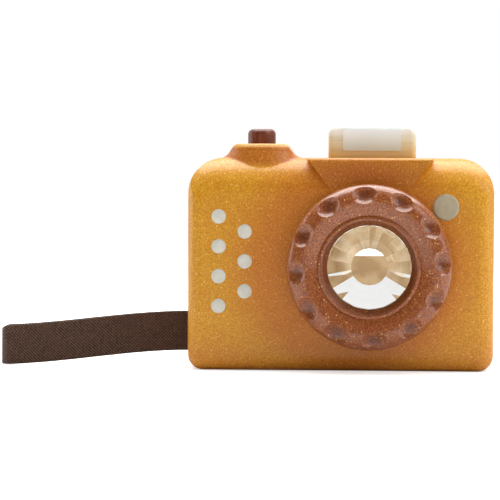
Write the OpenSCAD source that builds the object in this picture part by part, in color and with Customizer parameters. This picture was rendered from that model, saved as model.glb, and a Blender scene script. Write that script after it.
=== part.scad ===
// Toy camera with a turning kaleidoscope lens, a sprung shutter button and a wrist strap.
// Millimetres, +Z up. It stands on the XY plane with its front towards -Y, and the origin
// is the middle of its flat foot.

/* [Body] */
// Width across both sides
body_w = 115; // [108:1:130]
// Height from the foot to the flat top
body_h = 80; // [76:1:95]
// Depth of the two shells together
body_d = 42; // [38:1:54]
// Thickness of the shell walls
wall = 6; // [5:0.5:7]
// Rounding of the front and rear edges at the sides and the foot, and of the foot corners
edge_r = 6; // [3:0.5:8]
// Rounding of the front and rear edges along the top
crown_r = 13.5; // [8:0.5:15]
// Rounding of the two top corners, seen from the front
shoulder_r = 13.5; // [10:0.5:18]
// Width at the top of the flat brow under the viewfinder block
brow_w = 47.4; // [44:0.2:52]
// Lean of the brow's sides, in degrees
brow_lean = 37; // [20:1:40]
// Rounding of the brow's top edge
brow_r = 1.8; // [0.5:0.1:2.5]
// Diameter of the pegs that line the two shells up
peg_d = 5; // [4:0.5:6]
// Length of those pegs
peg_len = 14; // [10:1:20]
// Wood left round a peg
peg_wood = 2.6; // [2:0.2:4]

/* [Lens ring] */
// Lens axis to the right of the middle
lens_x = 11; // [6:0.5:14]
// Lens axis below the middle of the body's height
lens_drop = 0.5; // [-3:0.5:3]
// Diameter over the ring
ring_d = 61.6; // [56:0.2:64]
// How far the ring stands out from the front
ring_proud = 15; // [13:0.5:20]
// Rounding of the ring's outer shoulder
ring_round = 6.1; // [5:0.1:7]
// Radius of the slope from the ring's front in to the crest
dish_r = 12; // [11:0.5:16]
// Radius of the soft crest beside the lens
crest_r = 1.1; // [0.8:0.1:1.5]
// How far that crest lies behind the ring's front
crest_drop = 0.6; // [0.4:0.1:1.2]
// Depth of the lens behind the ring's front
cove_depth = 4; // [3:0.25:6]
// Lean of the cove wall from the lens axis, in degrees
cove_lean = 30; // [20:1:40]
// Number of finger dimples
dimple_count = 12; // [8:1:14]
// Radius of the ball that scoops a dimple
dimple_ball_r = 6.5; // [5:0.25:8]
// Depth of a dimple
dimple_depth = 2.1; // [1:0.1:3]
// Lean of a dimple's axis from the lens axis, in degrees
dimple_lean = 25; // [18:1:32]
// Turn of the first dimple from the top at rest, in degrees
dimple_turn = 4; // [0:1:15]
// Wall of the hub that turns in the front shell
hub_wall = 2.8; // [2:0.2:4]
// Thickness of the collar that keeps the hub in
collar_t = 4; // [3:0.5:6]
// How far that collar reaches past the hub
collar_reach = 4.5; // [3:0.5:6]

/* [Lens] */
// Diameter of the lens that shows
lens_d = 31.2; // [26:0.2:33]
// Width of the rim under the ring's lip
lens_rim = 1; // [0.6:0.1:1.6]
// Thickness of the lip in front of the rim
lip_t = 0.8; // [0.5:0.1:1.5]
// Thickness of the lens at its rim
lens_edge_t = 2.4; // [1.5:0.1:4]
// Number of facets
facet_count = 18; // [8:1:24]
// Slope of the facets, in degrees
facet_slope = 40; // [20:1:40]
// Diameter of the flat table among the facets
table_d = 13.8; // [8:0.2:18]
// Length of the ring that holds the lens from behind
retainer_len = 4; // [2:0.5:6]

/* [Viewing sleeve] */
// Wall of the wooden sleeve behind the lens
sleeve_wall = 4.5; // [4:0.5:5]
// Thickness of the sleeve's end
sleeve_end = 3; // [2:0.5:4]
// Height of the rim in the rear shell that holds the sleeve
socket_h = 5; // [3:0.5:8]
// Width of the viewing window
window_w = 30; // [16:1:31]
// Height of the viewing window
window_h = 14; // [8:1:14]
// Lower edge of the window above the lens axis
window_lift = 2.75; // [0:0.25:3]
// Rounding of the window's corners
window_r = 5; // [4.5:0.5:6]
// Bevel round the window outside
window_bevel = 1.2; // [0.5:0.1:2]

/* [Shutter button] */
// Button axis to the left of the middle
button_x = 30.5; // [27:0.5:31]
// Button diameter
button_d = 10.6; // [9:0.2:12]
// How far the button stands out of the turret
button_proud = 5.6; // [5:0.2:8]
// Rounding of the button's top edge
button_round = 2; // [0.5:0.25:3]
// Stroke of the button
button_stroke = 3.5; // [2:0.25:4.5]
// Height of the turret under the button
turret_h = 5.3; // [4:0.1:8]
// Width of the turret at its foot, seen from the front
turret_foot_w = 26.8; // [24:0.2:28]
// Width of the turret at its top, seen from the front
turret_top_w = 19.4; // [17:0.2:22]
// Radius of the turret's round front
turret_front = 14.8; // [14:0.1:15.5]
// How far the axis of the round front lies from the button's, towards the lens
turret_shift = 1; // [0:0.25:1]
// Rounding of the turret's top edge
turret_round = 2.75; // [1.5:0.25:3.5]
// Diameter of the collar that keeps the button in
stop_d = 17; // [15:0.5:20]
// Thickness of that collar
stop_t = 4; // [3:0.5:5]
// Thickness of the shelf under the spring
shelf_t = 4; // [3:0.5:6]
// Length of the spring at rest
spring_len = 16; // [12:0.5:20]
// Mean diameter of the spring
spring_d = 6.4; // [5.8:0.1:8]
// Diameter of the spring's wire
wire_d = 0.8; // [0.6:0.1:1]
// Turns of the spring
spring_turns = 7; // [5:1:8]
// Diameter of the tail that guides the spring
tail_d = 4.4; // [3.5:0.1:4.6]

/* [Viewfinder block] */
// Width of the block
block_w = 33; // [28:0.2:40]
// Height of the block
block_h = 12.2; // [9:0.1:15]
// How far the middle of the block lies beside the lens axis
block_shift = 0.6; // [-1:0.1:1]
// Front of the block before the seam
block_front = 10; // [9:0.5:14]
// Rounding of the block's edges
block_edge_r = 2; // [1:0.25:3]
// Rounding of its two top corners, seen from the front
block_corner_r = 3; // [3:0.25:5]
// Diameter of the two pegs under the block
block_peg_d = 6; // [4:0.5:7]
// Distance of the pegs on each side of the block's middle
block_peg_x = 9; // [6:0.5:11]
// Distance of the pegs in front of the seam
block_peg_y = 5.5; // [4.5:0.5:6]
// How far the pegs go up into the block
block_peg_up = 6; // [3:0.5:7]
// Width of the flash panel
panel_w = 22; // [14:0.5:26]
// Foot of the panel above the body
panel_lift = 2.8; // [1:0.1:5]
// Thickness of the panel
panel_t = 0.4; // [0.3:0.1:1]

/* [Dots and lamp] */
// Dot diameter
dot_d = 5.4; // [4:0.2:7]
// How far a dot stands out
dot_proud = 0.8; // [0.4:0.1:1.4]
// Depth of a dot in the wall
dot_depth = 4; // [2:0.5:4.5]
// Outer column to the left of the middle
dot_x = 45.6; // [44:0.2:48]
// Distance between the two columns
dot_column = 9.8; // [8:0.2:12]
// Height of the top dot above the foot
dot_z = 57.9; // [54:0.1:60]
// Distance between the dots in a column
dot_pitch = 11.2; // [8:0.1:12]
// Number of dots in both columns
dot_count = 7; // [3:1:7]
// Lamp diameter
lamp_d = 9.8; // [7:0.2:11]
// How far the lamp stands out
lamp_proud = 0.6; // [0.3:0.1:1]
// Depth of the lamp in the wall
lamp_depth = 3; // [2:0.5:4]
// Gap between the lamp and the ring
lamp_gap = 0.4; // [0.3:0.1:3]
// Turn of the lamp round the lens axis from the top, in degrees
lamp_turn = 52; // [40:1:60]

/* [Wrist strap] */
// Width of the webbing
strap_w = 15; // [12:0.5:18]
// Thickness of the webbing
strap_t = 1.5; // [1:0.1:2]
// How far the folded loop reaches from the side
strap_reach = 72.8; // [60:0.2:120]
// Radius of the fold at the far end, to the middle of the webbing
fold_r = 3.6; // [3.2:0.1:6]
// Share of that reach over which the loop opens
loop_share = 0.7; // [0.5:0.05:0.8]
// Height of the far end above the floor
strap_rest = 0.4; // [0.2:0.1:2]
// Diameter of the pin inside the loop
pin_d = 4.4; // [3:0.2:5]
// Wood above the strap that holds the pin
bracket_h = 5; // [3:0.5:8]

/* [Fits] */
// Radial clearance of what turns or slides
run_fit = 0.05; // [0.02:0.01:0.1]
// Radial clearance of a glued peg
glue_fit = 0.04; // [0.02:0.01:0.1]
// Gap between faces that pass each other
gap = 0.3; // [0.2:0.05:0.5]

/* [Hidden] */
$fn = 72;

half_w = body_w / 2;
half_d = body_d / 2;
lens_z = body_h / 2 - lens_drop;
room = half_d - wall;
over = 1;

hub_bore_r = lens_d / 2 + lens_rim + glue_fit;
hub_r = hub_bore_r + hub_wall;
collar_r = hub_r + collar_reach;
ring_r = ring_d / 2;
ring_front = gap + ring_proud;
lip_front = ring_front - cove_depth;
lens_front = lip_front - lip_t;
lens_back = lens_front - lens_edge_t;
hub_back = -(wall + gap + collar_t);
crest_y = ring_front - crest_drop - crest_r;
cove_rise = crest_y - lip_front;
crest_x = lens_d / 2 + (crest_r + sin(cove_lean) * cove_rise) / cos(cove_lean);
brim_x = ring_r - ring_round;
facet_rise = (lens_d - table_d) / 2 * cos(180 / facet_count) * tan(facet_slope);

sleeve_r = hub_bore_r + sleeve_wall;
sleeve_front = hub_back - gap;
sleeve_back = -(body_d - wall);
window_mid = window_lift + window_h / 2;

stop_top = body_h - wall - gap;
stop_foot = stop_top - stop_t;
shelf_z = stop_foot - spring_len;
shelf_w = spring_d + wire_d + 2 * wall;
turret_top = body_h + turret_h;
button_top = turret_top + button_proud;
bore_r = button_d / 2 + run_fit;

peg_r = peg_d / 2;
boss_r = peg_r + peg_wood;
peg_in = wall + boss_r / 2;
peg_high = body_h - shoulder_r - boss_r;
peg_spots = [
    [-half_w + peg_in, peg_high],
    [half_w - peg_in, peg_high],
    [half_w - peg_in, peg_in],
    [-button_x, peg_in]];

// Share by which the wider body forms grow, so that no two roundings begin on one line
crown_ease = 1.01;
block_back = half_d - crown_r;
block_half = (block_front + block_back) / 2;
block_x = lens_x + block_shift;

strap_z = wall + gap;
strap_top = strap_z + strap_w;
pin_r = pin_d / 2;
layer_y = strap_t / 2 + gap / 2;
slot_y = layer_y + strap_t / 2 + gap;
pin_loop_r = pin_r + gap / 2 + strap_t / 2;
pin_x = -half_w + wall + pin_loop_r + strap_t;
pin_foot = wall / 2;
pin_top = strap_top + gap + bracket_h - over;
bracket_w = pin_x + half_w + pin_r + peg_wood;
strap_end = -half_w - strap_reach;

color_body = "#C68A2E";
color_brown = "#8A4F2C";
color_dark = "#5A3A2A";
color_wood = "#D9B98A";
color_cream = "#E9D9B4";
color_dot = "#DAD8CC";
color_lamp = "#BDB9A0";
color_panel = "#DFDFDA";
color_clear = "#EEF1F0";
color_strap = "#4A2F27";
color_steel = "#B8BCC0";

// Rounded outline with round top and foot corners, in the plane of the front.
module outline(half, foot, top, top_r, foot_r) {
    translate([-half, foot + foot_r]) square([2 * half, top - foot - top_r - foot_r]);
    translate([-half + top_r, top - top_r]) square([2 * (half - top_r), top_r]);
    translate([-half + foot_r, foot]) square([2 * (half - foot_r), foot_r]);
    for (side = [-1, 1]) {
        translate([side * (half - top_r), top - top_r]) circle(top_r);
        translate([side * (half - foot_r), foot + foot_r]) circle(foot_r);
    }
}

// Section through an edge: "reach" wide and "deep" high, with its outer front corner rounded.
module edge_section(reach, deep, round_r) {
    if (reach > round_r) square([reach - round_r, deep]);
    translate([reach - round_r, 0]) square([round_r, deep - round_r]);
    translate([reach - round_r, deep - round_r]) intersection() {
        circle(round_r);
        square(round_r);
    }
}

// Half of a soft-edged block, from the seam forwards. X is to the right, Y up, Z forwards.
module soft_half(half, high, deep, round_r, corner_r) {
    inner = half - corner_r;
    span = high - corner_r - round_r;
    translate([-inner, round_r, 0]) cube([2 * inner, span, deep]);
    for (side = [0, 1]) mirror([side, 0, 0]) {
        translate([inner, round_r, 0]) edge_bar(corner_r, deep, round_r, span);
        translate([inner, high - corner_r, 0])
            rotate_extrude(angle = 90) edge_section(corner_r, deep, round_r);
        translate([half - round_r, round_r, 0])
            rotate([0, 0, -90]) rotate_extrude(angle = 90) edge_section(round_r, deep, round_r);
    }
    translate([-inner, high - corner_r, 0])
        mirror([1, -1, 0]) edge_bar(corner_r, deep, round_r, 2 * inner);
    translate([-half + round_r, round_r, 0])
        rotate([0, 0, -90]) edge_bar(round_r, deep, round_r, 2 * (half - round_r));
}

// Straight edge: the section carried along +Y.
module edge_bar(reach, deep, round_r, length) {
    translate([0, length, 0]) rotate([90, 0, 0])
        linear_extrude(length) edge_section(reach, deep, round_r);
}

// Half of the turret under the button: leaning sides, seen from the front, and an upright round front.
module turret() {
    foot_r = turret_foot_w / 2;
    top_r = turret_top_w / 2;
    lean = atan((foot_r - top_r) / turret_h);
    root = wall / 2;
    foot = [foot_r + root * tan(lean), -root];
    round_c = [top_r - turret_round * (1 - sin(lean)) / cos(lean), turret_h - turret_round];
    rim = round_c + turret_round * [cos(lean), sin(lean)];
    intersection() {
        translate([turret_shift, 0, 0]) rotate([-90, 180, 0]) rotate_extrude(angle = 180)
            translate([0, -root]) edge_section(turret_front, turret_h + root, turret_round);
        linear_extrude(turret_front + over) {
            polygon([
                [-foot[0], foot[1]], foot, rim, [round_c[0], turret_h],
                [-round_c[0], turret_h], [-rim[0], rim[1]]]);
            for (side = [-1, 1]) translate([side * round_c[0], round_c[1]]) circle(turret_round);
        }
    }
}

// Rounded viewing window round its own middle, in the plane of the front.
module window_outline() {
    half = [window_w / 2 - window_r, window_h / 2 - window_r];
    translate([-window_w / 2, -half[1]]) square([window_w, 2 * half[1]]);
    translate([-half[0], -window_h / 2]) square([2 * half[0], window_h]);
    for (side = [-1, 1], level = [-1, 1]) translate([side * half[0], level * half[1]]) circle(window_r);
}

// Cut that bevels the window's outer edge at 45 degrees, on past the wall.
module window_flare() {
    half = [window_w / 2 - window_r, window_h / 2 - window_r];
    out = 2 * window_bevel;
    for (side = [-1, 1], level = [-1, 1]) translate([side * half[0], level * half[1], 0])
        cylinder(h = out, r1 = window_r, r2 = window_r + out);
    translate([-half[0], 0, 0]) rotate([90, 0, 90])
        linear_extrude(2 * half[0]) flare_section(window_h / 2, out);
    translate([0, half[1], 0]) rotate([90, 0, 0])
        linear_extrude(2 * half[1]) flare_section(window_w / 2, out);
}

module flare_section(half, out) {
    polygon([[-half, 0], [half, 0], [half + out, out], [-half - out, out]]);
}

// Frame of the front shell: X right, Y up, Z forwards from the seam.
module front_side() {
    rotate([90, 0, 0]) children();
}

// The same frame for the rear shell, with Z backwards from the seam.
module rear_side() {
    mirror([0, 1, 0]) rotate([90, 0, 0]) children();
}

// Frame of the lens unit: its axis is Z, forwards from the front face.
module lens_frame() {
    translate([lens_x, -half_d, lens_z]) rotate([90, 0, 0]) children();
}

// Outer form of a shell: its edge rounding grows from the sides over the shoulders to the top.
module body_half() {
    intersection_for (round_r = [edge_r, (edge_r + crown_r) / 2, crown_r]) {
        grow = crown_ease * (round_r - edge_r);
        proud = grow - round_r + edge_r;
        translate([0, -grow, 0])
            soft_half(half_w + grow, body_h + grow + proud, half_d, round_r, shoulder_r + grow);
    }
}

// Flat brow under the viewfinder block, flush with the front, with leaning sides.
module brow() {
    high = crown_r + wall / 2;
    top_half = brow_w / 2;
    foot_half = top_half - high * tan(brow_lean);
    foot_z = body_h - high;
    intersection() {
        translate([lens_x, 0, 0]) linear_extrude(half_d) polygon([
            [-foot_half, foot_z], [foot_half, foot_z], [top_half, body_h], [-top_half, body_h]]);
        translate([lens_x - brow_w, foot_z, 0]) rotate([90, 0, 90])
            linear_extrude(2 * brow_w) edge_section(high, half_d, brow_r);
    }
}

// What both shells have: the soft outer form with what is added to it, the hollow, the peg bosses,
// the shelf under the spring and the bracket over the strap, with half of each hole that the seam
// divides.
module shell_half() {
    difference() {
        union() {
            difference() {
                union() {
                    body_half();
                    children();
                }
                translate([0, 0, -over]) linear_extrude(room + over)
                    outline(half_w - wall, wall, body_h - wall, max(shoulder_r - wall, over), over);
            }
            translate([-button_x, body_h, 0]) turret();
            for (spot = peg_spots) translate([spot[0], spot[1], 0]) cylinder(r = boss_r, h = room + over);
            translate([-button_x - shelf_w / 2, shelf_z - shelf_t, 0]) cube([shelf_w, shelf_t, room + over]);
            translate([-half_w + wall - over, strap_top + gap, 0])
                cube([bracket_w - wall + over, bracket_h, room + over]);
        }
        for (spot = peg_spots) translate([spot[0], spot[1], -over])
            cylinder(r = peg_r + glue_fit, h = peg_len / 2 + gap + over);
        translate([-button_x, body_h - wall - over, 0]) rotate([-90, 0, 0])
            cylinder(r = bore_r, h = wall + turret_h + 2 * over);
        translate([-half_w - over, strap_z - gap, -over])
            cube([wall + 2 * over, strap_w + 2 * gap, slot_y + over]);
        translate([pin_x, pin_foot - gap, 0]) rotate([-90, 0, 0])
            cylinder(r = pin_r + glue_fit, h = pin_top - pin_foot + 2 * gap);
    }
}

module front_shell() {
    color(color_body) difference() {
        front_side() shell_half() brow();
        lens_frame() translate([0, 0, -wall - over]) cylinder(r = hub_r + run_fit, h = wall + 2 * over);
        for (i = [1:dot_count]) at_dot(i) translate([0, 0, -dot_depth - gap])
            cylinder(r = dot_d / 2 + glue_fit, h = dot_depth + gap + over);
        at_lamp() translate([0, 0, -lamp_depth]) cylinder(r = lamp_d / 2 + glue_fit, h = lamp_depth + over);
        for (side = [-1, 1]) translate([block_x + side * block_peg_x, -block_peg_y, body_h - wall - over])
            cylinder(r = block_peg_d / 2 + glue_fit, h = wall + 2 * over);
    }
}

module rear_shell() {
    color(color_body) difference() {
        union() {
            rear_side() shell_half();
            rear_side() translate([lens_x, lens_z, room - socket_h]) difference() {
                cylinder(r = sleeve_r + glue_fit + peg_wood, h = socket_h + over);
                translate([0, 0, -over]) cylinder(r = sleeve_r + glue_fit, h = socket_h + over);
            }
        }
        rear_side() translate([lens_x, lens_z + window_mid, room - over])
            linear_extrude(wall + 2 * over) window_outline();
        rear_side() translate([lens_x, lens_z + window_mid, half_d - window_bevel]) window_flare();
    }
}

module shell_pegs() {
    color(color_wood) for (spot = peg_spots)
        translate([spot[0], peg_len / 2, spot[1]]) rotate([90, 0, 0]) cylinder(r = peg_r, h = peg_len);
}

// Natural wood sleeve that lines the way from the lens to the viewing window.
module viewing_sleeve() {
    color(color_wood) lens_frame() difference() {
        translate([0, 0, sleeve_back]) cylinder(r = sleeve_r, h = sleeve_front - sleeve_back);
        translate([0, 0, sleeve_back + sleeve_end])
            cylinder(r = hub_bore_r, h = sleeve_front - sleeve_back);
        translate([0, window_mid, sleeve_back - over]) linear_extrude(sleeve_end + 2 * over) window_outline();
    }
}

// Section of the ring about its axis: round shoulder, front dished in to a soft crest, leaning cove,
// lip and hub.
module ring_section() {
    crest_c = [crest_x, crest_y];
    cove_foot = [lens_d / 2, lip_front];
    shoulder_y = ring_front - ring_round;
    polygon([
        [hub_bore_r, hub_back], [hub_r, hub_back], [hub_r, gap], [crest_x, gap], crest_c,
        crest_c + crest_r * [-cos(cove_lean), sin(cove_lean)], cove_foot, [lens_d / 2, lens_front],
        [hub_bore_r, lens_front]]);
    translate(crest_c) circle(crest_r);
    intersection() {
        translate([brim_x, ring_front - dish_r]) circle(dish_r);
        translate([crest_x, gap]) square([brim_x - crest_x, ring_front - gap]);
    }
    translate([brim_x, gap]) square([ring_round, shoulder_y - gap]);
    translate([brim_x, shoulder_y]) intersection() {
        circle(ring_round);
        square(ring_round);
    }
}

module lens_ring() {
    shoulder_c = [brim_x, ring_front - ring_round];
    ball_c = shoulder_c + (ring_round + dimple_ball_r - dimple_depth) * [sin(dimple_lean), cos(dimple_lean)];
    color(color_brown) lens_frame() difference() {
        rotate_extrude() ring_section();
        for (i = [0:dimple_count - 1]) rotate([0, 0, 90 + dimple_turn + i * 360 / dimple_count])
            translate([ball_c[0], 0, ball_c[1]]) sphere(dimple_ball_r);
    }
}

// Clear lens, flat in front, with flat facets round a flat table behind.
module kaleidoscope_lens() {
    color(color_clear) lens_frame() {
        translate([0, 0, lens_back]) cylinder(r = lens_d / 2 + lens_rim, h = lens_edge_t);
        translate([0, 0, lens_back]) mirror([0, 0, 1]) rotate([0, 0, 90])
            linear_extrude(facet_rise, scale = table_d / lens_d) circle(d = lens_d, $fn = facet_count);
    }
}

module lens_retainer() {
    color(color_brown) lens_frame() translate([0, 0, lens_back - retainer_len]) difference() {
        cylinder(r = hub_bore_r - glue_fit, h = retainer_len);
        translate([0, 0, -over]) cylinder(r = lens_d / 2, h = retainer_len + 2 * over);
    }
}

module hub_collar() {
    color(color_wood) lens_frame() translate([0, 0, hub_back]) difference() {
        cylinder(r = collar_r, h = collar_t);
        translate([0, 0, -over]) cylinder(r = hub_r + glue_fit, h = collar_t + 2 * over);
    }
}

// Frame of the button: its axis is Z, through the turret.
module button_frame() {
    translate([-button_x, 0, 0]) children();
}

module shutter_button() {
    tail_foot = shelf_z + button_stroke + gap;
    color(color_dark) button_frame() {
        translate([0, 0, stop_foot]) rotate_extrude()
            edge_section(button_d / 2, button_top - stop_foot, button_round);
        translate([0, 0, tail_foot]) cylinder(d = tail_d, h = stop_foot - tail_foot);
    }
}

module button_stop() {
    color(color_wood) button_frame() translate([0, 0, stop_foot]) difference() {
        cylinder(d = stop_d, h = stop_t);
        translate([0, 0, -over]) cylinder(r = button_d / 2 + glue_fit, h = stop_t + 2 * over);
    }
}

// Coil spring between the shelf and the collar, as one wire of round turns.
module button_spring() {
    steps = 8;
    rings = steps * spring_turns;
    sides = 6;
    rise = spring_len - wire_d - gap;
    function ring_point(i, j) =
        let (turn = 360 * i / steps, round = 360 * j / sides, r = spring_d / 2 + wire_d / 2 * cos(round))
        [r * cos(turn), r * sin(turn), rise * i / rings + wire_d / 2 * sin(round)];
    points = [for (i = [0:rings], j = [0:sides - 1]) ring_point(i, j)];
    skin = [for (i = [0:rings - 1], j = [0:sides - 1])
        let (a = i * sides + j, b = i * sides + (j + 1) % sides)
        each [[a, a + sides, b], [b, a + sides, b + sides]]];
    caps = [for (j = [1:sides - 2]) each [[0, j, j + 1],
        [rings * sides, rings * sides + j + 1, rings * sides + j]]];
    self_gap = rise / spring_turns - wire_d;
    echo(spring_gap_to_itself = self_gap);
    color(color_steel) button_frame() translate([0, 0, shelf_z + wire_d / 2 + gap / 2])
        polyhedron(points, concat(skin, caps));
}

// The block's form, with every face moved out by "grow".
module block_form(grow) {
    high = block_h + block_edge_r + grow;
    translate([block_x, block_half - block_front, body_h]) difference() {
        translate([0, 0, -block_edge_r]) for (turn = [0, 180]) rotate([90, 0, turn])
            soft_half(block_w / 2 + grow, high, block_half + grow, block_edge_r + grow,
                block_corner_r + grow);
        translate([-block_w, -2 * block_half, -2 * block_edge_r])
            cube([2 * block_w, 4 * block_half, 2 * block_edge_r]);
    }
}

module viewfinder_block() {
    color(color_cream) difference() {
        block_form(0);
        for (side = [-1, 1]) translate([block_x + side * block_peg_x, -block_peg_y, body_h - over])
            cylinder(r = block_peg_d / 2 + glue_fit, h = block_peg_up + gap + over);
    }
}

module block_pegs() {
    color(color_wood) for (side = [-1, 1])
        translate([block_x + side * block_peg_x, -block_peg_y, body_h - wall + gap])
            cylinder(d = block_peg_d, h = wall - gap + block_peg_up);
}

// Thin panel that follows the front of the block up over its rounded top edge.
module flash_panel() {
    color(color_panel) difference() {
        intersection() {
            block_form(panel_t);
            translate([block_x - panel_w / 2, -2 * block_front, body_h + panel_lift])
                cube([panel_w, 2 * block_front, block_h]);
        }
        block_form(0);
        translate([block_x - panel_w, -block_front + block_edge_r, body_h])
            cube([2 * panel_w, 2 * block_front, 2 * block_h]);
    }
}

// Place of dot i on the front: the odd ones in the outer column, the even ones half a pitch lower.
module at_dot(i) {
    inner = (i + 1) % 2;
    translate([-dot_x + inner * dot_column, -half_d, dot_z - (i - 1) / 2 * dot_pitch])
        rotate([90, 0, 0]) children();
}

module grip_dot(i) {
    ball_r = dot_d;
    color(color_dot) at_dot(i) intersection() {
        translate([0, 0, -dot_depth]) cylinder(d = dot_d, h = dot_depth + dot_proud);
        translate([0, 0, dot_proud - ball_r]) sphere(ball_r);
    }
}

module at_lamp() {
    lens_frame() rotate([0, 0, -lamp_turn]) translate([0, ring_r + lamp_gap + lamp_d / 2, 0]) children();
}

module lamp_disc() {
    color(color_lamp) at_lamp() translate([0, 0, -lamp_depth]) rotate_extrude()
        edge_section(lamp_d / 2, lamp_depth + lamp_proud, lamp_proud);
}

function ease(t) = t <= 0 ? 0 : t >= 1 ? 1 : t * t * (3 - 2 * t);

// Half the width of the loop at x outside the body, to the middle of the webbing.
function loop_y(x) =
    layer_y + (fold_r - layer_y) * ease((-half_w - gap - x) / (loop_share * strap_reach));

// Fall of the strap's lower edge from the slot to its far end on the floor.
function strap_foot(x) =
    strap_z - (strap_z - strap_rest) * ease((-half_w - x) / (strap_reach + fold_r));

// Webbing loop: one band round the pin and through the slot to the fold at its far end.
module wrist_strap() {
    run = 26;
    bend = 10;
    slot_x = -half_w + wall;
    fold_x = strap_end + fold_r + strap_t / 2;
    to_slot = [slot_x - pin_x, layer_y];
    hook_turn = atan2(to_slot[1], to_slot[0]) - acos(pin_loop_r / norm(to_slot));
    side = [for (i = [0:run]) let (x = slot_x + (fold_x - slot_x) * i / run) [x, loop_y(x)]];
    fold = [for (i = [1:bend - 1]) let (a = 90 + 180 * i / bend) [fold_x, 0] + fold_r * [cos(a), sin(a)]];
    back = [for (i = [run:-1:0]) [side[i][0], -side[i][1]]];
    hook = [for (i = [0:bend]) let (a = hook_turn * (2 * i / bend - 1))
        [pin_x, 0] + pin_loop_r * [cos(a), sin(a)]];
    path = concat(side, fold, back, hook);
    n = len(path);
    function along(i) = let (d = path[(i + 1) % n] - path[(i + n - 1) % n]) d / norm(d);
    function section(i) =
        let (d = along(i), out = strap_t / 2 * [d[1], -d[0]], p = path[i], z = strap_foot(p[0]))
        [[p[0] + out[0], p[1] + out[1], z], [p[0] - out[0], p[1] - out[1], z],
         [p[0] - out[0], p[1] - out[1], z + strap_w], [p[0] + out[0], p[1] + out[1], z + strap_w]];
    points = [for (i = [0:n - 1]) each section(i)];
    faces = [for (i = [0:n - 1], j = [0:3])
        let (next = (i + 1) % n, turn = (j + 1) % 4)
        let (a = 4 * i + j, b = 4 * i + turn, c = 4 * next + j, d = 4 * next + turn)
        each [[a, b, c], [b, d, c]]];
    color(color_strap) polyhedron(points, faces);
}

module strap_pin() {
    color(color_wood) translate([pin_x, 0, pin_foot]) cylinder(r = pin_r, h = pin_top - pin_foot);
}

front_shell();
rear_shell();
shell_pegs();
viewing_sleeve();
lens_ring();
kaleidoscope_lens();
lens_retainer();
hub_collar();
shutter_button();
button_stop();
button_spring();
viewfinder_block();
block_pegs();
flash_panel();
for (i = [1:dot_count]) grip_dot(i);
lamp_disc();
wrist_strap();
strap_pin();
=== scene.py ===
import math

import bmesh
import bpy
from mathutils import Matrix, Vector


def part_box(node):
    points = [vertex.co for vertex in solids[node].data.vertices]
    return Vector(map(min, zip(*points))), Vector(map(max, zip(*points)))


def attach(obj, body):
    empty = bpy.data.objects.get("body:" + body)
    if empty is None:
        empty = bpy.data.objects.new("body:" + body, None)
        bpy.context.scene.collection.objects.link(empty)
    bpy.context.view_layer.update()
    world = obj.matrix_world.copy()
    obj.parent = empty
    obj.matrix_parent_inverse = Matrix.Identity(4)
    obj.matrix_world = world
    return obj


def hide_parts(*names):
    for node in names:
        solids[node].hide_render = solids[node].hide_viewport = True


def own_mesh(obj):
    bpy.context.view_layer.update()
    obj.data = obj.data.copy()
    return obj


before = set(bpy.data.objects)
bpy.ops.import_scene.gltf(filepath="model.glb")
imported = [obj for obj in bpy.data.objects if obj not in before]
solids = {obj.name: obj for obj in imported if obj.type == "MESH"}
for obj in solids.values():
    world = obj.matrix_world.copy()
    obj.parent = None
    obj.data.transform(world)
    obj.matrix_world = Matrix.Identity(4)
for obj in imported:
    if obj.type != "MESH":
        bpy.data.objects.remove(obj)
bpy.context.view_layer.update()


# Camera and studio
# The camera stands a metre in front and a little above the lens. Soft boxes hang over the toy and beside
# it, round a pale floor and wall, and a small light behind the lens stands for the daylight it lets in.

eye = Vector((0.020, -1.021, 0.078))
turn, tilt, roll = math.radians(3.078), math.radians(-1.865), math.radians(0.242)
camera = bpy.data.objects.new("camera", bpy.data.cameras.new("camera"))
camera.data.sensor_width = 36
camera.data.lens = 192.6
camera.matrix_world = (
    Matrix.Translation(eye) @ Matrix.Rotation(turn, 4, "Z")
    @ Matrix.Rotation(math.pi / 2 + tilt, 4, "X") @ Matrix.Rotation(roll, 4, "Z"))
bpy.context.scene.collection.objects.link(camera)
bpy.context.scene.camera = camera
bpy.context.scene.view_settings.view_transform = "Standard"


def wire(tree, kind, inputs=None, **settings):
    """A node of that kind, with its settings, and its sockets set or linked."""
    made = tree.nodes.new("ShaderNode" + kind)
    for key, value in settings.items():
        setattr(made, key, value)
    for key, value in (inputs or {}).items():
        if isinstance(value, bpy.types.NodeSocket):
            tree.links.new(value, made.inputs[key])
        else:
            made.inputs[key].default_value = value
    return made


def calc(tree, operation, *values):
    """The result of one operation on numbers or sockets."""
    return wire(tree, "Math", dict(enumerate(values)), operation=operation).outputs[0]


def length(tree, vector):
    return wire(tree, "VectorMath", {0: vector}, operation="LENGTH").outputs["Value"]


def level(tree, value, low, high, to_low=0.0, to_high=1.0):
    """A value from low to high made one from to_low to to_high, and held there."""
    return wire(tree, "MapRange", {"Value": value, "From Min": low, "From Max": high,
                                   "To Min": to_low, "To Max": to_high}).outputs[0]


def mixed(tree, share, first, second, blend="MIX"):
    """Two colours mixed, the second by that share."""
    made = wire(tree, "Mix", {0: share, 6: first, 7: second}, data_type="RGBA", blend_type=blend)
    return made.outputs[2]


def seen_directly(tree, depth):
    """1 for what the camera sees straight on, or behind the toy through its lens, and 0 for light."""
    path = wire(tree, "LightPath")
    behind = calc(tree, "GREATER_THAN", depth, 0.0)
    through = calc(tree, "MULTIPLY", path.outputs["Is Transmission Ray"], behind)
    return calc(tree, "MAXIMUM", path.outputs["Is Camera Ray"], through)


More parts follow.
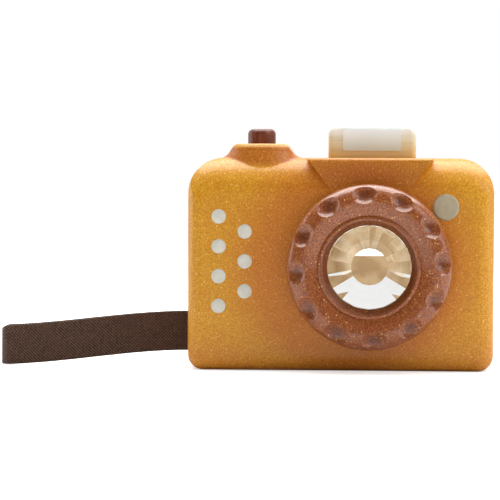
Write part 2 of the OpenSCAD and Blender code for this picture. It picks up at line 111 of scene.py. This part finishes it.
sky_dim, sweep_start, sweep_full = 0.02, 0.40, 0.8
world = bpy.data.worlds.new("studio")
world.use_nodes = True
bpy.context.scene.world = world
sky = world.node_tree
toward = wire(sky, "SeparateXYZ", {"Vector": wire(sky, "TexCoord").outputs["Generated"]}).outputs["Y"]
sweep = level(sky, toward, sweep_start, sweep_full, sky_dim, 1.0)
sky_level = calc(sky, "MAXIMUM", sweep, seen_directly(sky, toward))
sky.nodes["Background"].inputs["Color"].default_value = (1, 1, 1, 1)
sky.links.new(sky_level, sky.nodes["Background"].inputs["Strength"])

floor_half, shade_reach, shade_end, shade_level = 6, 0.05, 0.35, 0.55
paper_pale, paper_dark = (0.8, 0.79, 0.77, 1), (0.08, 0.07, 0.06, 1)
floor_mesh = bpy.data.meshes.new("floor")
floor_form = bmesh.new()
bmesh.ops.create_grid(floor_form, x_segments=1, y_segments=1, size=floor_half)
floor_form.to_mesh(floor_mesh)
floor_form.free()
floor = bpy.data.objects.new("floor", floor_mesh)
bpy.context.scene.collection.objects.link(floor)
floor_paper = bpy.data.materials.new("floor_paper")
floor_paper.use_nodes = True
paper = floor_paper.node_tree
paper_place = wire(paper, "TexCoord").outputs["Object"]
paper_depth = wire(paper, "SeparateXYZ", {"Vector": paper_place}).outputs["Y"]
# Painted shadow: the floor's glow is dimmed near the toy, as a soft contact shadow.
shadowed_glow_level = level(paper, length(paper, paper_place), shade_reach, shade_end, shade_level, 1.0)
paper_glow = calc(paper, "MULTIPLY", seen_directly(paper, paper_depth), shadowed_glow_level)
# Light reflected inside the lens finds the floor dark, or it would draw a pale arch there.
paper_path = wire(paper, "LightPath")
bounced = calc(paper, "GREATER_THAN", paper_path.outputs["Glossy Depth"], 0.5)
stray = calc(paper, "MULTIPLY", paper_path.outputs["Is Transmission Ray"], bounced)
paper_skin = paper.nodes["Principled BSDF"]
paper.links.new(mixed(paper, stray, paper_pale, paper_dark), paper_skin.inputs["Base Color"])
paper_skin.inputs["Roughness"].default_value = 0.9
paper_skin.inputs["Specular IOR Level"].default_value = 0.0
paper_skin.inputs["Emission Color"].default_value = (1, 1, 1, 1)
paper.links.new(paper_glow, paper_skin.inputs["Emission Strength"])
floor_mesh.materials.append(floor_paper)


def soft_box(name, place, aim, size, power, mirrored=True):
    """A soft box of that size at a place, facing a point, and seen in glossy faces or not."""
    lamp = bpy.data.lights.new(name, "AREA")
    lamp.shape = "RECTANGLE"
    lamp.size, lamp.size_y = size
    lamp.energy = power
    box = bpy.data.objects.new(name, lamp)
    box.matrix_world = (Matrix.Translation(place)
                        @ (Vector(aim) - Vector(place)).to_track_quat("-Z", "Y").to_matrix().to_4x4())
    bpy.context.scene.collection.objects.link(box)
    box.visible_camera = False
    box.visible_transmission = False
    box.visible_glossy = mirrored


toy_top, toy_middle = (0.0, 0.0, 0.08), (0.0, 0.0, 0.05)
lens_x, lens_z = 0.011, 0.0395
soft_box("top_box", (0.02, 0.24, 0.93), toy_top, (1.3, 0.8), 16.5)
soft_box("front_box", (0.0, -0.55, 1.05), toy_middle, (2.2, 1.5), 6.0, mirrored=False)
soft_box("front_low", (0.05, -1.35, 0.16), toy_middle, (1.2, 0.6), 1.6, mirrored=False)
soft_box("right_box", (1.0, -0.12, 0.30), toy_middle, (0.55, 0.8), 1.9)
soft_box("right_fill", (0.76, -0.42, 0.62), toy_middle, (0.5, 0.6), 2.0)
soft_box("left_box", (-0.96, 0.28, 0.30), toy_middle, (0.55, 0.8), 2.9)
soft_box("lens_light", (lens_x, -0.008, lens_z), (lens_x, 0.02, lens_z), (0.022, 0.022), 0.0069,
         mirrored=False)


# Two shells
# The halves of the body, pressed from sawdust and resin, which leaves fine flecks, then sanded round,
# lacquered and glued at the seam. Shade is painted darker round the ring and towards the foot, and the wood
# is bare in the window's edges.

fleck_scale, chip_scale, chip_size = 1800, 1080, (0.40, 0.20)
pale_chips, dark_chips = (0.90, 0.96), (0.88, 0.96)


def srgb(red, green, blue):
    """A colour as read from a picture, as the shader wants it."""
    return tuple(((c / 255 + 0.055) / 1.055) ** 2.4 for c in (red, green, blue)) + (1,)


def new_finish(name):
    """A new material, its node tree, its shader and its Object coordinates."""
    made = bpy.data.materials.new(name)
    made.use_nodes = True
    tree = made.node_tree
    return made, tree, tree.nodes["Principled BSDF"], wire(tree, "TexCoord").outputs["Object"]


def noise(tree, place, scale, detail=2.0, rough=0.5):
    return wire(tree, "TexNoise", {"Vector": place, "Scale": scale, "Detail": detail, "Roughness": rough}
                ).outputs["Fac"]


def steps(tree, value, stops):
    """A value turned to a colour by stops of (position, colour)."""
    made = wire(tree, "ValToRGB", {"Fac": value})
    ramp = made.color_ramp
    while len(ramp.elements) < len(stops):
        ramp.elements.new(1.0)
    for element, (position, colour) in zip(ramp.elements, stops):
        element.position, element.color = position, colour
    return made.outputs["Color"]


def gloss(tree, skin, grain, low, high):
    """Roughness between two values, which follows a noise."""
    tree.links.new(level(tree, grain, 0.3, 0.7, low, high), skin.inputs["Roughness"])


def relief(tree, skin, height, depth):
    """Fine relief of that depth in metres."""
    bump = wire(tree, "Bump", {"Height": height, "Distance": depth, "Strength": 1.0})
    tree.links.new(bump.outputs["Normal"], skin.inputs["Normal"])


def flecked_wood(name, dark, ground, pale, spark, lacquer):
    """Pressed wood with fine flecks and sparse chips, under a lacquer of that roughness."""
    made, tree, skin, place = new_finish(name)
    fine = noise(tree, place, fleck_scale, rough=0.6)
    colour = steps(tree, fine, [(0.28, dark), (0.50, ground), (0.74, pale)])
    chips = wire(tree, "TexVoronoi", {"Vector": place, "Scale": chip_scale, "Randomness": 1.0})
    pick = wire(tree, "SeparateColor", {"Color": chips.outputs["Color"]})
    chip = level(tree, chips.outputs["Distance"], *chip_size)
    pale_chip = calc(tree, "MULTIPLY", chip, level(tree, pick.outputs[0], *pale_chips))
    dark_chip = calc(tree, "MULTIPLY", chip, level(tree, pick.outputs[1], *dark_chips))
    colour = mixed(tree, pale_chip, colour, spark)
    colour = mixed(tree, dark_chip, colour, dark)
    gloss(tree, skin, fine, lacquer - 0.03, lacquer + 0.04)
    return made, tree, skin, place, colour


def radius(tree, place, middle, plane=(1, 0, 1)):
    """How far a place is from a line through a middle, square to a plane."""
    back = tuple(-part for part in middle)
    return length(tree, wire(tree, "Mapping", {"Vector": place, "Location": back, "Scale": plane}).outputs[0])


def dress(finish, *names):
    """Gives solids of the frame a finish."""
    for name in names:
        solids[name].data.materials.clear()
        solids[name].data.materials.append(finish)


# Each pair says where a shade starts and where it is full.
front_y, foot_shade_z = (-0.004, -0.012), (0.018, 0.004)
ring_shade_axis, ring_shade_reach = (0.005, 0, lens_z), (0.050, 0.036)
brow_y, brow_z = (-0.0203, -0.0207), (0.068, 0.073)
turret_front_x, turret_highlight_z = -0.0295, (0.0838, 0.0853)
wall_reach, wall_y, wall_z = (0.0172, 0.0162), (0.004, -0.006), (0.0847, 0.0836)
window_z, window_half_w, window_half_h = 0.04925, 0.0152, 0.0072
rear_wall_y, rear_wall_half = 0.0100, 0.0098

body_wood, tree, skin, place, colour = flecked_wood(
    "body_wood", srgb(196, 120, 14), srgb(219, 150, 16), srgb(240, 190, 58), srgb(250, 208, 104), 0.42)
at = wire(tree, "SeparateXYZ", {"Vector": place})
sideways, depth, height = at.outputs["X"], at.outputs["Y"], at.outputs["Z"]
warm = level(tree, noise(tree, place, 45), 0.4, 0.7, 0.0, 0.45)
colour = mixed(tree, warm, colour, (0.95, 0.86, 0.9, 1), "MULTIPLY")
# Painted shade: the front is darker and redder round the ring, and the body darker towards its foot.
ring_shade = calc(tree, "MULTIPLY", level(tree, radius(tree, place, ring_shade_axis), *ring_shade_reach),
                  level(tree, depth, *front_y))
ring_and_foot_shade = calc(tree, "MAXIMUM", ring_shade, level(tree, height, *foot_shade_z, 0.0, 0.5))
colour = mixed(tree, ring_and_foot_shade, colour, (0.89, 0.65, 0.80, 1), "MULTIPLY")
# Painted shade: the flat brow above the ring is darker.
brow_shade = calc(tree, "MULTIPLY", level(tree, depth, *brow_y), level(tree, height, *brow_z))
colour = mixed(tree, brow_shade, colour, (0.84, 0.76, 0.88, 1), "MULTIPLY")
# Painted highlight: the turret's top is mixed towards pale cream, where light falls on it.
colour = mixed(tree, level(tree, height, *turret_highlight_z, 0.0, 0.30), colour, srgb(252, 226, 160))
# Painted shade: the turret's front wall is darker and redder.
from_turret = radius(tree, place, (turret_front_x, 0, 0), plane=(1, 1, 0))
wall = calc(tree, "MULTIPLY", level(tree, from_turret, *wall_reach), level(tree, height, *wall_z))
turret_wall_shade = calc(tree, "MULTIPLY", wall, level(tree, depth, *wall_y))
colour = mixed(tree, turret_wall_shade, colour, (0.76, 0.54, 0.80, 1), "MULTIPLY")
at_window = calc(tree, "MULTIPLY", calc(tree, "COMPARE", sideways, lens_x, window_half_w),
                 calc(tree, "COMPARE", height, window_z, window_half_h))
reveal = calc(tree, "MULTIPLY", at_window, calc(tree, "COMPARE", depth, rear_wall_y, rear_wall_half))
colour = mixed(tree, reveal, colour, srgb(246, 238, 220))
tree.links.new(colour, skin.inputs["Base Color"])
skin.inputs["Coat Weight"].default_value = 0.2
skin.inputs["Coat Roughness"].default_value = 0.1
dress(body_wood, "front_shell", "rear_shell")


# Turret cove
# The soft hollow where the button's turret runs out into the crown of the body, pressed in one with
# the shells. It lies on them as a thin skin, round the bore for the button.

turret_x, turret_top = -0.0305, 0.0853
top_half, side_slope, side_soft = 0.0097, 5.3 / 3.7, 0.0014
front_r, front_slope, front_soft = 0.0139, 3.0, 0.0025
cove_bore_r, cove_rim_r, cove_cuts, cove_turns = 0.0054, 0.0203, 56, 180
hollow_front, hollow_more_beside = 0.0010, 0.0028
cove_sink, cove_thick = 0.00005, 0.0003
plain_crown_x, above_all, seam_side = 0.036, 0.2, 1e-5


def soft_least(a, b, width):
    """The lesser of two heights, with the corner between them rounded over that width."""
    return min(a, b) - max(width - abs(a - b), 0.0) ** 2 / (4 * width)


def crown_top(x, y):
    """Top of the body beside the turret, found on the plain end of the crown."""
    shell = solids["front_shell" if y < 0 else "rear_shell"]
    return shell.ray_cast((max(abs(x), plain_crown_x), y, above_all), (0, 0, -1))[1].z


cove_form = bmesh.new()
start = [cove_form.verts.new((turret_x + r, 0, 0)) for r in (cove_bore_r, cove_rim_r)]
line = cove_form.edges.new(start)
bmesh.ops.subdivide_edges(cove_form, edges=[line], cuts=cove_cuts)
bmesh.ops.spin(cove_form, geom=cove_form.verts[:] + cove_form.edges[:], cent=(turret_x, 0, 0),
               axis=(0, 0, 1), angle=2 * math.pi, steps=cove_turns, use_merge=True)
for vert in cove_form.verts:
    x, y = vert.co.x, vert.co.y
    beside = turret_top - (abs(x - turret_x) - top_half) * side_slope
    ahead = turret_top + (front_r - math.hypot(x - turret_front_x, y)) * front_slope
    turret = soft_least(soft_least(turret_top, beside, side_soft), ahead, front_soft)
    ground = crown_top(x, min(y, -seam_side) if y <= 0 else max(y, seam_side))
    beside_share = ((x - turret_x) / math.hypot(x - turret_x, y)) ** 2
    hollow_w = hollow_front + hollow_more_beside * beside_share
    vert.co.z = -soft_least(-turret, -ground, hollow_w) - cove_sink
bmesh.ops.recalc_face_normals(cove_form, faces=cove_form.faces[:])
if sum(face.normal.z for face in cove_form.faces) < 0:
    bmesh.ops.reverse_faces(cove_form, faces=cove_form.faces[:])
for face in cove_form.faces:
    face.smooth = True
cove_mesh = bpy.data.meshes.new("turret_cove")
cove_form.to_mesh(cove_mesh)
cove_form.free()
turret_cove = bpy.data.objects.new("turret_cove", cove_mesh)
bpy.context.scene.collection.objects.link(turret_cove)
skin_depth = turret_cove.modifiers.new("thickness", "SOLIDIFY")
skin_depth.thickness, skin_depth.offset = cove_thick, -1.0
cove_mesh.materials.append(body_wood)
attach(turret_cove, "camera_body")


# Pegs, pin, collars and viewing sleeve
# Pegs line the shells up and hold the block, a pin holds the strap, collars keep the lens and the button
# in, and a sleeve joins the lens to the window. All are turned from bare pale hardwood with a fine grain.

lens_axis = (lens_x, 0, lens_z)
end_shade_reach, side_shade_reach, side_y = (0.0165, 0.0105), (0.0158, 0.0163), (0.0080, 0.0040)

bare_wood, tree, skin, place = new_finish("bare_wood")
lengthwise = wire(tree, "Mapping", {"Vector": place, "Scale": (260, 26, 260)}).outputs[0]
grain = noise(tree, lengthwise, 1.0, detail=4.0, rough=0.6)
pores = noise(tree, lengthwise, 5.0)
colour = steps(tree, grain, [(0.30, srgb(235, 220, 192)), (0.52, srgb(244, 233, 211)),
                             (0.75, srgb(249, 241, 226))])
colour = mixed(tree, level(tree, pores, 0.62, 0.72, 0.0, 0.35), colour, srgb(214, 186, 146))
patches = level(tree, noise(tree, place, 170, detail=1.0), 0.42, 0.58)
colour = mixed(tree, patches, colour, srgb(224, 212, 192), "MULTIPLY")
from_axis = radius(tree, place, lens_axis)
# Painted shade: the middle of the sleeve's end wall and its side wall near the lens are darker, as shade
# inside the sleeve.
colour = mixed(tree, level(tree, from_axis, *end_shade_reach), colour, srgb(172, 155, 126), "MULTIPLY")
along = wire(tree, "SeparateXYZ", {"Vector": place}).outputs["Y"]
sleeve_side_shade = calc(tree, "MULTIPLY", level(tree, from_axis, *side_shade_reach), level(tree, along, *side_y))
colour = mixed(tree, sleeve_side_shade, colour, srgb(205, 190, 165), "MULTIPLY")
tree.links.new(colour, skin.inputs["Base Color"])
gloss(tree, skin, grain, 0.55, 0.68)
relief(tree, skin, pores, 0.00004)
dress(bare_wood, "shell_pegs", "block_pegs", "strap_pin", "viewing_sleeve", "lens_retainer", "hub_collar",
      "button_stop")


# Lens ring
# The big turning ring, pressed from darker sawdust with sparse pale flecks and lacquered. Twelve thumb
# hollows are scooped round its rim, and a cove leads down to the lens in its bare bore; shade is painted
# dark in the hollows and the cove.

hollow_from, hollow_to, hollow_mid = math.radians(-19), math.radians(11), math.radians(-4)
hollow_half, hollow_span = 0.26, 1.9
hollow_in, hollow_out = 0.0218, 0.0318
cove_shade_reach, bore_reach, bore_y = (0.0186, 0.0172), (0.0168, 0.0166), (-0.0320, -0.0318)

ring_wood, tree, skin, place, colour = flecked_wood(
    "ring_wood", srgb(110, 47, 13), srgb(149, 72, 23), srgb(199, 128, 60), srgb(236, 184, 122), 0.45)
centred = wire(tree, "Mapping", {"Vector": place, "Location": (-lens_x, 0, -lens_z)}).outputs[0]
spot = wire(tree, "SeparateXYZ", {"Vector": centred})
reach = radius(tree, place, lens_axis)
angle = calc(tree, "ARCTAN2", spot.outputs["X"], spot.outputs["Z"])
aside = calc(tree, "SUBTRACT", calc(tree, "WRAP", angle, hollow_to, hollow_from), hollow_mid)
off = wire(tree, "CombineXYZ", {
    "X": level(tree, aside, -hollow_half, hollow_half, -hollow_span, hollow_span),
    "Y": level(tree, reach, hollow_in, hollow_out, -hollow_span, hollow_span)})
# Painted shade: the thumb hollows are darkened.
hollow_shade = level(tree, length(tree, off.outputs[0]), 1.0, 0.25)
colour = mixed(tree, hollow_shade, colour, (0.55, 0.46, 0.42, 1), "MULTIPLY")
# Painted shade: the cove round the lens is darker.
colour = mixed(tree, level(tree, reach, *cove_shade_reach), colour, (0.70, 0.66, 0.64, 1), "MULTIPLY")
bore = calc(tree, "MULTIPLY", level(tree, reach, *bore_reach), level(tree, spot.outputs["Y"], *bore_y))
tree.links.new(mixed(tree, bore, colour, srgb(196, 168, 130)), skin.inputs["Base Color"])
skin.inputs["Coat Weight"].default_value = 0.75
skin.inputs["Coat Roughness"].default_value = 0.05
dress(ring_wood, "lens_ring")


# Kaleidoscope lens
# A clear acrylic jewel with a flat table and eighteen facets, moulded in one piece and held in
# the ring by a wooden retainer behind it.

clear_acrylic, tree, skin, place = new_finish("clear_acrylic")
skin.inputs["Base Color"].default_value = (0.985, 0.985, 0.975, 1)
skin.inputs["Transmission Weight"].default_value = 1.0
skin.inputs["IOR"].default_value = 1.49
gloss(tree, skin, noise(tree, place, 400), 0.0, 0.02)
dress(clear_acrylic, "kaleidoscope_lens")


# Shutter button and its spring
# A turned stem, stained dark and lacquered, which slides in the turret and rests on a coil spring
# of drawn steel wire on the shelf inside.

dark_wood, tree, skin, place = new_finish("dark_wood")
lengthwise = wire(tree, "Mapping", {"Vector": place, "Scale": (700, 700, 120)}).outputs[0]
grain = noise(tree, lengthwise, 1.0, detail=4.0, rough=0.6)
colour = steps(tree, grain, [(0.30, srgb(82, 36, 20)), (0.52, srgb(112, 55, 34)),
                             (0.78, srgb(138, 76, 48))])
tree.links.new(colour, skin.inputs["Base Color"])
gloss(tree, skin, grain, 0.30, 0.38)
relief(tree, skin, grain, 0.00003)
dress(dark_wood, "shutter_button")

spring_low, spring_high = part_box("button_spring")
spring_mid = (spring_low + spring_high) / 2
wire_r, wire_sides = 0.0004, 10
coil_r = (spring_high.x - spring_low.x) / 2 - wire_r
spring_turns, steps_a_turn = 7, 48
coil_steps = steps_a_turn * spring_turns
rise = (spring_high.z - spring_low.z - 2 * wire_r) / coil_steps
spring_form = bmesh.new()
bmesh.ops.create_circle(spring_form, segments=wire_sides, radius=wire_r,
                        matrix=Matrix.Translation((coil_r, 0, wire_r)) @ Matrix.Rotation(math.pi / 2, 4, "X"))
bmesh.ops.spin(spring_form, geom=spring_form.edges[:], cent=(0, 0, 0), axis=(0, 0, 1),
               dvec=(0, 0, rise), angle=2 * math.pi * spring_turns, steps=coil_steps)
bmesh.ops.holes_fill(spring_form, edges=[e for e in spring_form.edges if e.is_boundary])
bmesh.ops.recalc_face_normals(spring_form, faces=spring_form.faces[:])
bmesh.ops.translate(spring_form, verts=spring_form.verts[:], vec=(spring_mid.x, spring_mid.y, spring_low.z))
for face in spring_form.faces:
    face.smooth = True
spring_mesh = bpy.data.meshes.new("coil_spring")
spring_form.to_mesh(spring_mesh)
spring_form.free()
coil_spring = bpy.data.objects.new("coil_spring", spring_mesh)
bpy.context.scene.collection.objects.link(coil_spring)
spring_steel, tree, skin, place = new_finish("spring_steel")
drawn = noise(tree, place, 2600, detail=3.0)
colour = steps(tree, drawn, [(0.3, srgb(176, 180, 184)), (0.7, srgb(206, 210, 214))])
tree.links.new(colour, skin.inputs["Base Color"])
skin.inputs["Metallic"].default_value = 1.0
gloss(tree, skin, drawn, 0.24, 0.36)
spring_mesh.materials.append(spring_steel)
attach(coil_spring, "camera_body")
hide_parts("button_spring")
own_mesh(coil_spring)


# Viewfinder block and flash panel
# A block of hardwood with soft corners, painted cream so that a little grain shows through, with a white
# gloss film folded over its front edge. Golden light bounced from the body is painted on its foot, and a
# highlight on its top.

block_bounce_z, block_highlight_z, panel_shade_z = (0.0880, 0.0800), (0.0878, 0.0900), (0.0897, 0.0835)

cream_wood, tree, skin, place = new_finish("cream_wood")
crosswise = wire(tree, "Mapping", {"Vector": place, "Scale": (40, 420, 420)}).outputs[0]
grain = noise(tree, crosswise, 1.0, detail=4.0, rough=0.6)
colour = steps(tree, grain, [(0.30, srgb(222, 218, 187)), (0.55, srgb(235, 231, 204)),
                             (0.8, srgb(243, 240, 219))])
height = wire(tree, "SeparateXYZ", {"Vector": place}).outputs["Z"]
# Painted light: golden light bounced from the body's top is painted on the block's foot.
colour = mixed(tree, level(tree, height, *block_bounce_z), colour, (0.98, 0.70, 0.33, 1), "MULTIPLY")
# Painted highlight: the block's top is paler, where light falls on it.
colour = mixed(tree, level(tree, height, *block_highlight_z), colour, srgb(252, 249, 240))
tree.links.new(colour, skin.inputs["Base Color"])
gloss(tree, skin, grain, 0.34, 0.42)
relief(tree, skin, grain, 0.00002)
dress(cream_wood, "viewfinder_block")

panel_film, tree, skin, place = new_finish("panel_film")
ripple = noise(tree, place, 160)
height = wire(tree, "SeparateXYZ", {"Vector": place}).outputs["Z"]
colour = steps(tree, ripple, [(0.3, srgb(247, 252, 250)), (0.7, srgb(251, 255, 253))])
# Painted shade: the film is darker towards its foot.
colour = mixed(tree, level(tree, height, *panel_shade_z), colour, srgb(225, 226, 214), "MULTIPLY")
tree.links.new(colour, skin.inputs["Base Color"])
gloss(tree, skin, ripple, 0.16, 0.22)
relief(tree, skin, ripple, 0.00003)
dress(panel_film, "flash_panel")


# Grip dots and lamp disc
# Seven small turned plugs and one larger disc, dipped in off-white and in grey-green satin paint
# and pressed into blind holes, a little proud of the front.


def satin_paint(name, low, high):
    """Brushed-out satin paint between two shades."""
    made, tree, skin, place = new_finish(name)
    coat = noise(tree, place, 520, detail=3.0)
    tree.links.new(steps(tree, coat, [(0.3, low), (0.7, high)]), skin.inputs["Base Color"])
    gloss(tree, skin, coat, 0.36, 0.46)
    relief(tree, skin, coat, 0.00002)
    return made


dress(satin_paint("dot_paint", srgb(214, 212, 200), srgb(226, 225, 214)),
      *[name for name in solids if name.startswith("grip_dot_")])
dress(satin_paint("lamp_paint", srgb(178, 168, 140), srgb(192, 182, 152)), "lamp_disc")


# Wrist strap
# One band of dark brown cotton twill, 15 mm wide, which goes round the pin, out through the slot in
# the side and back at the fold on its far end. It stands on edge and sinks to the floor.

strap_w, strap_t, selvedge_w = 0.015, 0.0015, 0.0005
slot_x, fold_x, fold_r = -0.0515, -0.12595, 0.0036
pin_x, pin_loop_r, layer_y = -0.0469, 0.0031, 0.0009
spread_x, spread_length = -0.0578, 0.05096
sink_x, sink_length, foot_high, foot_drop = -0.0575, 0.0764, 0.0063, 0.0059
worn_drop, worn_in, worn_length = 0.0009, 0.0020, 0.0016
run, bend, strap_rows = 52, 14, 8


def ease(t):
    """A soft step from 0 to 1."""
    t = min(max(t, 0.0), 1.0)
    return t * t * (3 - 2 * t)


def loop_y(x):
    """How far each side of the loop is from its middle."""
    return layer_y + (fold_r - layer_y) * ease((spread_x - x) / spread_length)


def strap_foot(x):
    """Height of the strap's lower edge."""
    return foot_high - foot_drop * ease((sink_x - x) / sink_length)


to_slot = Vector((slot_x - pin_x, layer_y))
hook_turn = math.atan2(to_slot.y, to_slot.x) - math.acos(pin_loop_r / to_slot.length)
side = [slot_x + (fold_x - slot_x) * i / run for i in range(run + 1)]
route = [(x, loop_y(x)) for x in side]
route += [(fold_x + fold_r * math.cos(a), fold_r * math.sin(a))
          for a in (math.pi * (0.5 + i / bend) for i in range(1, bend))]
route += [(x, -loop_y(x)) for x in reversed(side)]
route += [(pin_x + pin_loop_r * math.cos(a), pin_loop_r * math.sin(a))
          for a in (hook_turn * (2 * i / bend - 1) for i in range(bend + 1))]
route = [Vector(p) for p in route]
route.append(route[0])
marks = [0.0]
for before, after in zip(route, route[1:]):
    marks.append(marks[-1] + (after - before).length)

strap_form = bmesh.new()
weave = strap_form.loops.layers.uv.new("weave")
bmesh.ops.create_grid(strap_form, x_segments=len(route) - 1, y_segments=strap_rows, size=0.5)
spots = {}
for vert in strap_form.verts:
    i = round((vert.co.x + 0.5) * (len(route) - 1))
    up = vert.co.y + 0.5
    spots[vert.index] = (marks[i], up * strap_w)
    worn_off = worn_drop * ease((fold_x - worn_in - route[i].x) / worn_length)
    vert.co = (route[i].x, route[i].y, strap_foot(route[i].x) + up * (strap_w - worn_off))
for face in strap_form.faces:
    face.smooth = True
    for corner in face.loops:
        corner[weave].uv = spots[corner.vert.index]
bmesh.ops.remove_doubles(strap_form, verts=strap_form.verts[:], dist=1e-6)
bmesh.ops.recalc_face_normals(strap_form, faces=strap_form.faces[:])
strap_mesh = bpy.data.meshes.new("webbing_loop")
strap_form.to_mesh(strap_mesh)
strap_form.free()
webbing_loop = bpy.data.objects.new("webbing_loop", strap_mesh)
bpy.context.scene.collection.objects.link(webbing_loop)
thick = webbing_loop.modifiers.new("thickness", "SOLIDIFY")
thick.thickness, thick.offset = strap_t, 0.0
selvedge = webbing_loop.modifiers.new("selvedge", "BEVEL")
selvedge.width, selvedge.segments, selvedge.limit_method = selvedge_w, 3, "ANGLE"
selvedge.angle_limit = math.radians(50)

strap_twill, tree, skin, place = new_finish("strap_twill")
thread = wire(tree, "UVMap", uv_map="weave").outputs["UV"]
ribs = wire(tree, "TexWave", {"Vector": thread, "Scale": 520.0, "Distortion": 3.5, "Detail": 2.0,
                              "Detail Scale": 3.0}, wave_type="BANDS", bands_direction="DIAGONAL")
picks = wire(tree, "TexWave", {"Vector": thread, "Scale": 700.0, "Distortion": 3.0, "Detail": 2.0},
             wave_type="BANDS", bands_direction="X")
cloth = calc(tree, "MULTIPLY", ribs.outputs["Fac"], picks.outputs["Fac"])
worn = level(tree, noise(tree, place, 240, detail=3.0), 0.4, 0.75, 0.0, 0.35)
colour = steps(tree, cloth, [(0.0, srgb(38, 23, 15)), (0.40, srgb(88, 57, 39)), (1.0, srgb(156, 112, 84))])
colour = mixed(tree, worn, colour, srgb(96, 64, 50))
tree.links.new(colour, skin.inputs["Base Color"])
skin.inputs["Roughness"].default_value = 0.88
skin.inputs["Sheen Weight"].default_value = 0.15
skin.inputs["Sheen Roughness"].default_value = 0.5
relief(tree, skin, cloth, 0.00018)
strap_mesh.materials.append(strap_twill)
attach(webbing_loop, "camera_body")
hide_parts("wrist_strap")
